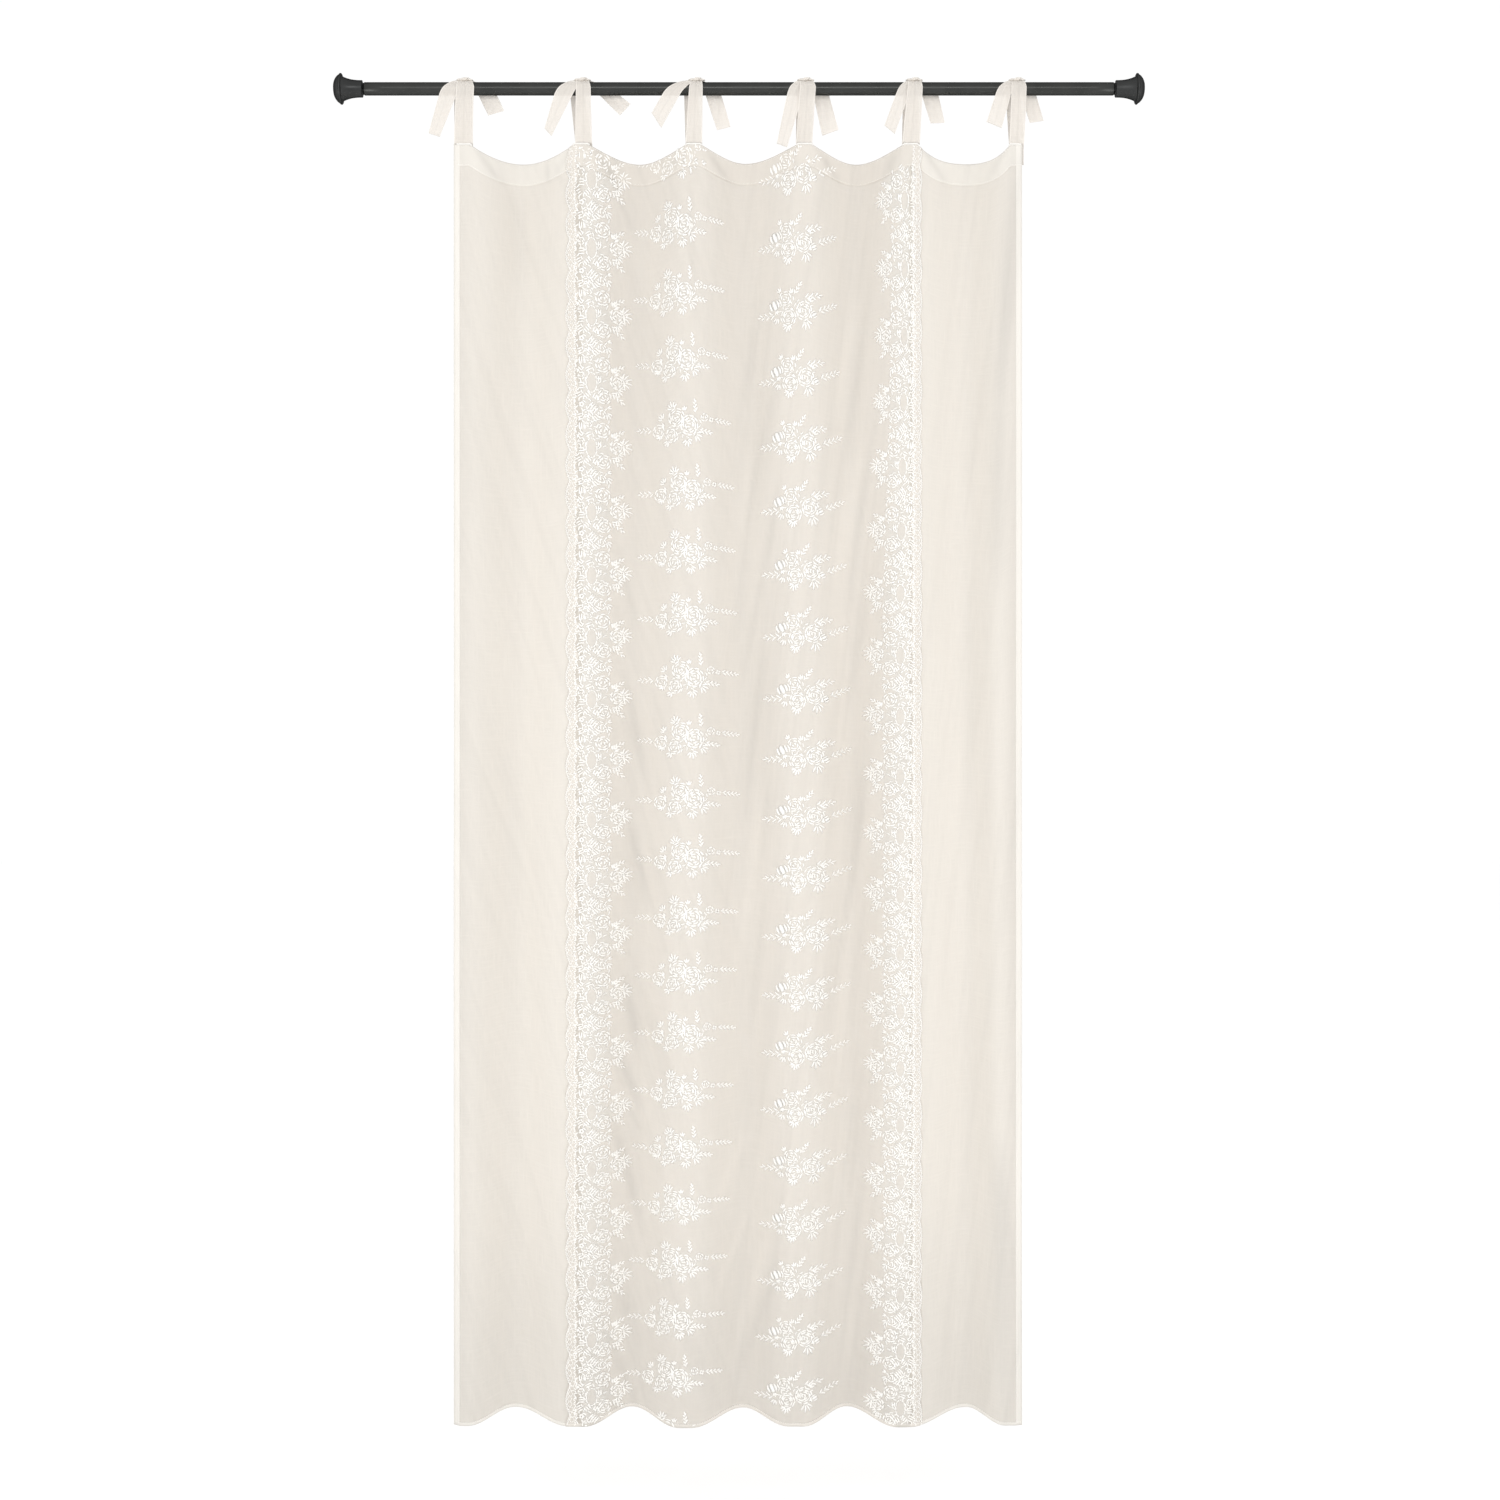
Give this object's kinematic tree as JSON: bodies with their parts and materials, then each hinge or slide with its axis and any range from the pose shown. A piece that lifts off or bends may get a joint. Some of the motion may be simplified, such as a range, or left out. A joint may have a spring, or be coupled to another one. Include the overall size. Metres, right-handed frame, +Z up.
{
  "type": "sheer voile curtain on a rod",
  "caption": "Sheer voile curtain with an embroidered net centre, plain side panels and a scalloped heading, tied with ribbons to a round metal rod with turned end caps.",
  "frame": {"origin": "middle of the rod, on its axis", "axes": "+X along the rod to the viewer's right, -Y out of the curtain's front towards the room, +Z up"},
  "size_m": [1.7482, 0.0999, 2.9236],
  "materials": {
    "rod_metal": "satin dark grey",
    "cap_metal": "matte dark grey",
    "side_voile": "sheer slub voile",
    "net_cloth": "sheer embroidered net",
    "band_cloth": "voile facing",
    "tie_ribbon": "sheer ribbon"
  },
  "bodies": {
    "root": {"rod": "rod_metal", "end_cap_left": "cap_metal", "end_cap_right": "cap_metal", "side_panel_left": "side_voile", "side_panel_right": "side_voile", "net_panel": "net_cloth", "heading_band": "band_cloth", "tie_1": "tie_ribbon", "tie_2": "tie_ribbon", "tie_3": "tie_ribbon", "tie_4": "tie_ribbon", "tie_5": "tie_ribbon", "tie_6": "tie_ribbon"}
  },
  "joints": []
}
